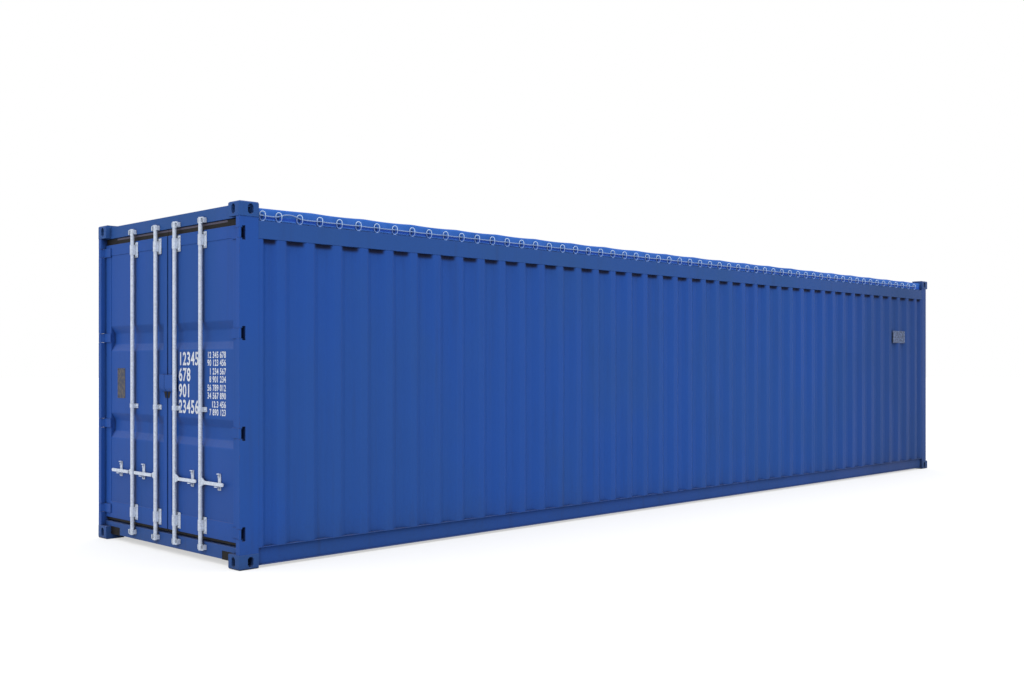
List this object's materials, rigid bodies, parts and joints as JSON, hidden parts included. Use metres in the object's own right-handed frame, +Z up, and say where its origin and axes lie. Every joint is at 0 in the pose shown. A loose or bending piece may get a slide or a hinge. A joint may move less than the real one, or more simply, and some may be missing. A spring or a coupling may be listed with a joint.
{
  "type": "open top shipping container",
  "caption": "Forty foot high cube open top container with a roped tarpaulin roof, corrugated walls, corner castings and double end doors with turning lock bars.",
  "frame": {"origin": "on the ground under the middle of the container", "axes": "+X along the container from the doors to the closed end, +Y to the left seen from outside facing the doors along +X, +Z up"},
  "size_m": [12.192, 2.438, 2.896],
  "materials": {
    "container_paint": "satin blue paint, slightly weathered",
    "casting_paint": "blue paint over cast steel, chipped at the edges",
    "underside_coat": "dark waxy underside coat",
    "zinc_plate": "dull galvanised steel",
    "seal_rubber": "matt black rubber",
    "floor_plywood": "sealed marine plywood",
    "tarpaulin_cloth": "coated polyester cloth",
    "rope_cover": "plastic covered cord"
  },
  "bodies": {
    "container": {"bottom_corner_castings": "casting_paint", "top_corner_castings": "casting_paint", "rear_corner_posts": "container_paint", "front_corner_posts": "container_paint", "door_header": "container_paint", "door_sill": "container_paint", "front_top_rail": "container_paint", "front_bottom_rail": "container_paint", "front_wall": "container_paint", "bottom_side_rail_left": "container_paint", "bottom_side_rail_right": "container_paint", "top_side_rail_left": "container_paint", "top_side_rail_right": "container_paint", "side_wall_left": "container_paint", "side_wall_right": "container_paint", "cross_members": "underside_coat", "gooseneck_tunnel": "underside_coat", "floor_boards": "floor_plywood", "roof_bows": "zinc_plate", "header_keepers": "zinc_plate", "sill_keepers": "zinc_plate", "lashing_rings_left": "zinc_plate", "lashing_rings_right": "zinc_plate", "tarpaulin": "tarpaulin_cloth", "tarpaulin_rope_left": "rope_cover", "tarpaulin_rope_right": "rope_cover"},
    "left_door": {"door_frame_left": "container_paint", "door_panel_left": "container_paint", "door_seal_left": "seal_rubber", "door_hinges_left": "container_paint", "bar_brackets_left": "zinc_plate", "handle_catches_left": "zinc_plate", "seam_cover_left": "container_paint"},
    "right_door": {"door_frame_right": "container_paint", "door_panel_right": "container_paint", "door_seal_right": "seal_rubber", "door_hinges_right": "container_paint", "bar_brackets_right": "zinc_plate", "handle_catches_right": "zinc_plate", "seam_cover_right": "container_paint"},
    "lock_bar_1": {"lock_bar_1": "zinc_plate"},
    "handle_1": {"handle_1": "zinc_plate"},
    "lock_bar_2": {"lock_bar_2": "zinc_plate"},
    "handle_2": {"handle_2": "zinc_plate"},
    "lock_bar_3": {"lock_bar_3": "zinc_plate"},
    "handle_3": {"handle_3": "zinc_plate"},
    "lock_bar_4": {"lock_bar_4": "zinc_plate"},
    "handle_4": {"handle_4": "zinc_plate"}
  },
  "joints": [
    {"name": "left_door_swing", "type": "hinge", "parent": "container", "child": "left_door", "pos_m": [-6.083, 1.206, 1.45], "axis": [0, 0, -1], "range_deg": [0, 263]},
    {"name": "right_door_swing", "type": "hinge", "parent": "container", "child": "right_door", "pos_m": [-6.083, -1.206, 1.45], "axis": [0, 0, 1], "range_deg": [0, 263]},
    {"name": "lock_bar_1_turn", "type": "hinge", "parent": "left_door", "child": "lock_bar_1", "pos_m": [-6.072, 0.59, 1.45], "axis": [0, 0, -1], "range_deg": [-95, 0]},
    {"name": "lock_bar_2_turn", "type": "hinge", "parent": "left_door", "child": "lock_bar_2", "pos_m": [-6.072, 0.165, 1.45], "axis": [0, 0, -1], "range_deg": [-95, 0]},
    {"name": "lock_bar_3_turn", "type": "hinge", "parent": "right_door", "child": "lock_bar_3", "pos_m": [-6.072, -0.165, 1.45], "axis": [0, 0, 1], "range_deg": [-95, 0]},
    {"name": "lock_bar_4_turn", "type": "hinge", "parent": "right_door", "child": "lock_bar_4", "pos_m": [-6.072, -0.59, 1.45], "axis": [0, 0, 1], "range_deg": [-95, 0]},
    {"name": "handle_1_lift", "type": "hinge", "parent": "lock_bar_1", "child": "handle_1", "pos_m": [-6.082, 0.652, 0.65], "axis": [-1, 0, 0], "range_deg": [-40, 0]},
    {"name": "handle_2_lift", "type": "hinge", "parent": "lock_bar_2", "child": "handle_2", "pos_m": [-6.082, 0.227, 0.65], "axis": [-1, 0, 0], "range_deg": [-40, 0]},
    {"name": "handle_3_lift", "type": "hinge", "parent": "lock_bar_3", "child": "handle_3", "pos_m": [-6.082, -0.227, 0.65], "axis": [1, 0, 0], "range_deg": [-40, 0]},
    {"name": "handle_4_lift", "type": "hinge", "parent": "lock_bar_4", "child": "handle_4", "pos_m": [-6.082, -0.652, 0.65], "axis": [1, 0, 0], "range_deg": [-40, 0]}
  ]
}
